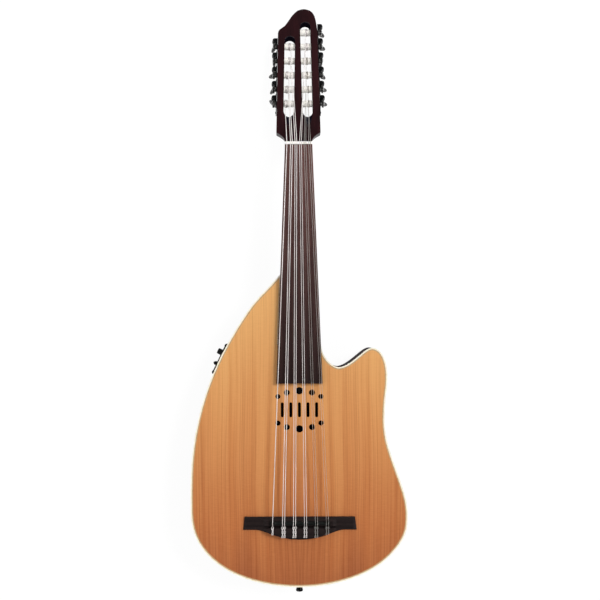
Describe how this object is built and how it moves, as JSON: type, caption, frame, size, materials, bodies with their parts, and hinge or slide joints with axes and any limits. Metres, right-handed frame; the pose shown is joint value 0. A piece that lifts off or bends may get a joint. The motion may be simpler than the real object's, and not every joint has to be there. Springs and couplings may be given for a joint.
{
  "type": "electric oud",
  "caption": "Thin hollow-bodied electric oud with a cutaway, a fretless neck, paired strings, a slotted head with worm-gear machine heads, side controls and a battery drawer.",
  "frame": {"origin": "on the flat back, under the saddle, on the centre line of the neck", "axes": "+X right across the soundboard as seen from its front, +Y from the tail to the head, +Z out of the soundboard"},
  "size_m": [0.3365, 0.9227, 0.0835],
  "materials": {
    "black_plastic": "moulded, black",
    "black_steel": "black plated",
    "bone": "polished off-white",
    "cedar": "satin lacquer, straight vertical grain",
    "clear_nylon": "translucent, faintly warm",
    "dark_mahogany": "high-gloss lacquer, nearly black brown",
    "ebony": "oiled, fine open pores",
    "graphite": "black, dull sheen",
    "ivory_plastic": "smooth, slightly yellowed",
    "spruce": "raw planed",
    "steel": "plain drawn and pressed",
    "wound_silver": "silvered winding"
  },
  "bodies": {
    "instrument": {"binding": "ivory_plastic", "body_shell": "dark_mahogany", "brace_left": "spruce", "brace_right": "spruce", "brace_upper": "spruce", "bridge": "ebony", "control_panel": "black_plastic", "fingerboard": "ebony", "jack_lead": "black_plastic", "neck": "dark_mahogany", "nut": "bone", "output_jack": "black_steel", "pickup_lead": "black_plastic", "preamp_case": "black_plastic", "saddle": "graphite", "saddle_pickup": "steel", "soundboard": "cedar", "strap_button": "black_steel", "string_01": "wound_silver", "string_02": "wound_silver", "string_03": "wound_silver", "string_04": "wound_silver", "string_05": "wound_silver", "string_06": "wound_silver", "string_07": "wound_silver", "string_08": "clear_nylon", "string_09": "clear_nylon", "string_10": "clear_nylon", "string_11": "clear_nylon", "truss_rod": "steel", "tuner_plate_left": "black_steel", "tuner_plate_right": "black_steel"},
    "roller_left_1": {"roller_left_1": "ivory_plastic"},
    "tuner_shaft_left_1": {"tuner_shaft_left_1": "black_steel"},
    "roller_left_2": {"roller_left_2": "ivory_plastic"},
    "tuner_shaft_left_2": {"tuner_shaft_left_2": "black_steel"},
    "roller_left_3": {"roller_left_3": "ivory_plastic"},
    "tuner_shaft_left_3": {"tuner_shaft_left_3": "black_steel"},
    "roller_left_4": {"roller_left_4": "ivory_plastic"},
    "tuner_shaft_left_4": {"tuner_shaft_left_4": "black_steel"},
    "roller_left_5": {"roller_left_5": "ivory_plastic"},
    "tuner_shaft_left_5": {"tuner_shaft_left_5": "black_steel"},
    "roller_right_1": {"roller_right_1": "ivory_plastic"},
    "tuner_shaft_right_1": {"tuner_shaft_right_1": "black_steel"},
    "roller_right_2": {"roller_right_2": "ivory_plastic"},
    "tuner_shaft_right_2": {"tuner_shaft_right_2": "black_steel"},
    "roller_right_3": {"roller_right_3": "ivory_plastic"},
    "tuner_shaft_right_3": {"tuner_shaft_right_3": "black_steel"},
    "roller_right_4": {"roller_right_4": "ivory_plastic"},
    "tuner_shaft_right_4": {"tuner_shaft_right_4": "black_steel"},
    "roller_right_5": {"roller_right_5": "ivory_plastic"},
    "tuner_shaft_right_5": {"tuner_shaft_right_5": "black_steel"},
    "roller_right_6": {"roller_right_6": "ivory_plastic"},
    "tuner_shaft_right_6": {"tuner_shaft_right_6": "black_steel"},
    "volume_knob": {"volume_knob": "black_plastic"},
    "bass_slider": {"bass_slider": "black_plastic"},
    "mid_slider": {"mid_slider": "black_plastic"},
    "treble_slider": {"treble_slider": "black_plastic"},
    "battery_drawer": {"battery_drawer": "black_plastic", "battery": "steel"}
  },
  "joints": [
    {"name": "worm_left_1_turn", "type": "hinge", "parent": "instrument", "child": "tuner_shaft_left_1", "pos_m": [-0.03855, 0.66207, 0.04938], "axis": [0, 0.1564, 0.9877], "continuous": true},
    {"name": "roller_left_1_turn", "type": "hinge", "parent": "instrument", "child": "roller_left_1", "pos_m": [-0.03341, 0.65367, 0.05071], "axis": [-0.9998, 0.0193, -0.0031], "continuous": true},
    {"name": "worm_left_2_turn", "type": "hinge", "parent": "instrument", "child": "tuner_shaft_left_2", "pos_m": [-0.03809, 0.68547, 0.04567], "axis": [0, 0.1564, 0.9877], "continuous": true},
    {"name": "roller_left_2_turn", "type": "hinge", "parent": "instrument", "child": "roller_left_2", "pos_m": [-0.03295, 0.67708, 0.047], "axis": [-0.9998, 0.0193, -0.0031], "continuous": true},
    {"name": "worm_left_3_turn", "type": "hinge", "parent": "instrument", "child": "tuner_shaft_left_3", "pos_m": [-0.03762, 0.70888, 0.04196], "axis": [0, 0.1564, 0.9877], "continuous": true},
    {"name": "roller_left_3_turn", "type": "hinge", "parent": "instrument", "child": "roller_left_3", "pos_m": [-0.03249, 0.70048, 0.04329], "axis": [-0.9998, 0.0193, -0.0031], "continuous": true},
    {"name": "worm_left_4_turn", "type": "hinge", "parent": "instrument", "child": "tuner_shaft_left_4", "pos_m": [-0.03716, 0.73228, 0.03826], "axis": [0, 0.1564, 0.9877], "continuous": true},
    {"name": "roller_left_4_turn", "type": "hinge", "parent": "instrument", "child": "roller_left_4", "pos_m": [-0.03202, 0.72389, 0.03959], "axis": [-0.9998, 0.0193, -0.0031], "continuous": true},
    {"name": "worm_left_5_turn", "type": "hinge", "parent": "instrument", "child": "tuner_shaft_left_5", "pos_m": [-0.0367, 0.75569, 0.03455], "axis": [0, 0.1564, 0.9877], "continuous": true},
    {"name": "roller_left_5_turn", "type": "hinge", "parent": "instrument", "child": "roller_left_5", "pos_m": [-0.03156, 0.74729, 0.03588], "axis": [-0.9998, 0.0193, -0.0031], "continuous": true},
    {"name": "worm_right_1_turn", "type": "hinge", "parent": "instrument", "child": "tuner_shaft_right_1", "pos_m": [0.03855, 0.66207, 0.04938], "axis": [0, 0.1564, 0.9877], "continuous": true},
    {"name": "roller_right_1_turn", "type": "hinge", "parent": "instrument", "child": "roller_right_1", "pos_m": [0.03341, 0.65367, 0.05071], "axis": [0.9998, 0.0193, -0.0031], "continuous": true},
    {"name": "worm_right_2_turn", "type": "hinge", "parent": "instrument", "child": "tuner_shaft_right_2", "pos_m": [0.03809, 0.68547, 0.04567], "axis": [0, 0.1564, 0.9877], "continuous": true},
    {"name": "roller_right_2_turn", "type": "hinge", "parent": "instrument", "child": "roller_right_2", "pos_m": [0.03295, 0.67708, 0.047], "axis": [0.9998, 0.0193, -0.0031], "continuous": true},
    {"name": "worm_right_3_turn", "type": "hinge", "parent": "instrument", "child": "tuner_shaft_right_3", "pos_m": [0.03762, 0.70888, 0.04196], "axis": [0, 0.1564, 0.9877], "continuous": true},
    {"name": "roller_right_3_turn", "type": "hinge", "parent": "instrument", "child": "roller_right_3", "pos_m": [0.03249, 0.70048, 0.04329], "axis": [0.9998, 0.0193, -0.0031], "continuous": true},
    {"name": "worm_right_4_turn", "type": "hinge", "parent": "instrument", "child": "tuner_shaft_right_4", "pos_m": [0.03716, 0.73228, 0.03826], "axis": [0, 0.1564, 0.9877], "continuous": true},
    {"name": "roller_right_4_turn", "type": "hinge", "parent": "instrument", "child": "roller_right_4", "pos_m": [0.03202, 0.72389, 0.03959], "axis": [0.9998, 0.0193, -0.0031], "continuous": true},
    {"name": "worm_right_5_turn", "type": "hinge", "parent": "instrument", "child": "tuner_shaft_right_5", "pos_m": [0.0367, 0.75569, 0.03455], "axis": [0, 0.1564, 0.9877], "continuous": true},
    {"name": "roller_right_5_turn", "type": "hinge", "parent": "instrument", "child": "roller_right_5", "pos_m": [0.03156, 0.74729, 0.03588], "axis": [0.9998, 0.0193, -0.0031], "continuous": true},
    {"name": "worm_right_6_turn", "type": "hinge", "parent": "instrument", "child": "tuner_shaft_right_6", "pos_m": [0.03623, 0.77909, 0.03084], "axis": [0, 0.1564, 0.9877], "continuous": true},
    {"name": "roller_right_6_turn", "type": "hinge", "parent": "instrument", "child": "roller_right_6", "pos_m": [0.0311, 0.77069, 0.03217], "axis": [0.9998, 0.0193, -0.0031], "continuous": true},
    {"name": "volume_turn", "type": "hinge", "parent": "instrument", "child": "volume_knob", "pos_m": [-0.11844, 0.26169, 0.036], "axis": [-0.9003, 0.4352, 0], "range_deg": [-140, 140]},
    {"name": "bass_slide", "type": "slide", "parent": "instrument", "child": "bass_slider", "axis": [0.4352, 0.9003, 0], "range_m": [-0.0075, 0.0075]},
    {"name": "mid_slide", "type": "slide", "parent": "instrument", "child": "mid_slider", "axis": [0.4352, 0.9003, 0], "range_m": [-0.0075, 0.0075]},
    {"name": "treble_slide", "type": "slide", "parent": "instrument", "child": "treble_slider", "axis": [0.4352, 0.9003, 0], "range_m": [-0.0075, 0.0075]},
    {"name": "battery_drawer_slide", "type": "slide", "parent": "instrument", "child": "battery_drawer", "axis": [-1, 0, 0], "range_m": [0, 0.028]}
  ],
  "couplings": [
    {"joint": "roller_left_1_turn", "follows": "worm_left_1_turn", "ratio": 0.071429},
    {"joint": "roller_left_2_turn", "follows": "worm_left_2_turn", "ratio": 0.071429},
    {"joint": "roller_left_3_turn", "follows": "worm_left_3_turn", "ratio": 0.071429},
    {"joint": "roller_left_4_turn", "follows": "worm_left_4_turn", "ratio": 0.071429},
    {"joint": "roller_left_5_turn", "follows": "worm_left_5_turn", "ratio": 0.071429},
    {"joint": "roller_right_1_turn", "follows": "worm_right_1_turn", "ratio": -0.071429},
    {"joint": "roller_right_2_turn", "follows": "worm_right_2_turn", "ratio": -0.071429},
    {"joint": "roller_right_3_turn", "follows": "worm_right_3_turn", "ratio": -0.071429},
    {"joint": "roller_right_4_turn", "follows": "worm_right_4_turn", "ratio": -0.071429},
    {"joint": "roller_right_5_turn", "follows": "worm_right_5_turn", "ratio": -0.071429},
    {"joint": "roller_right_6_turn", "follows": "worm_right_6_turn", "ratio": -0.071429}
  ]
}
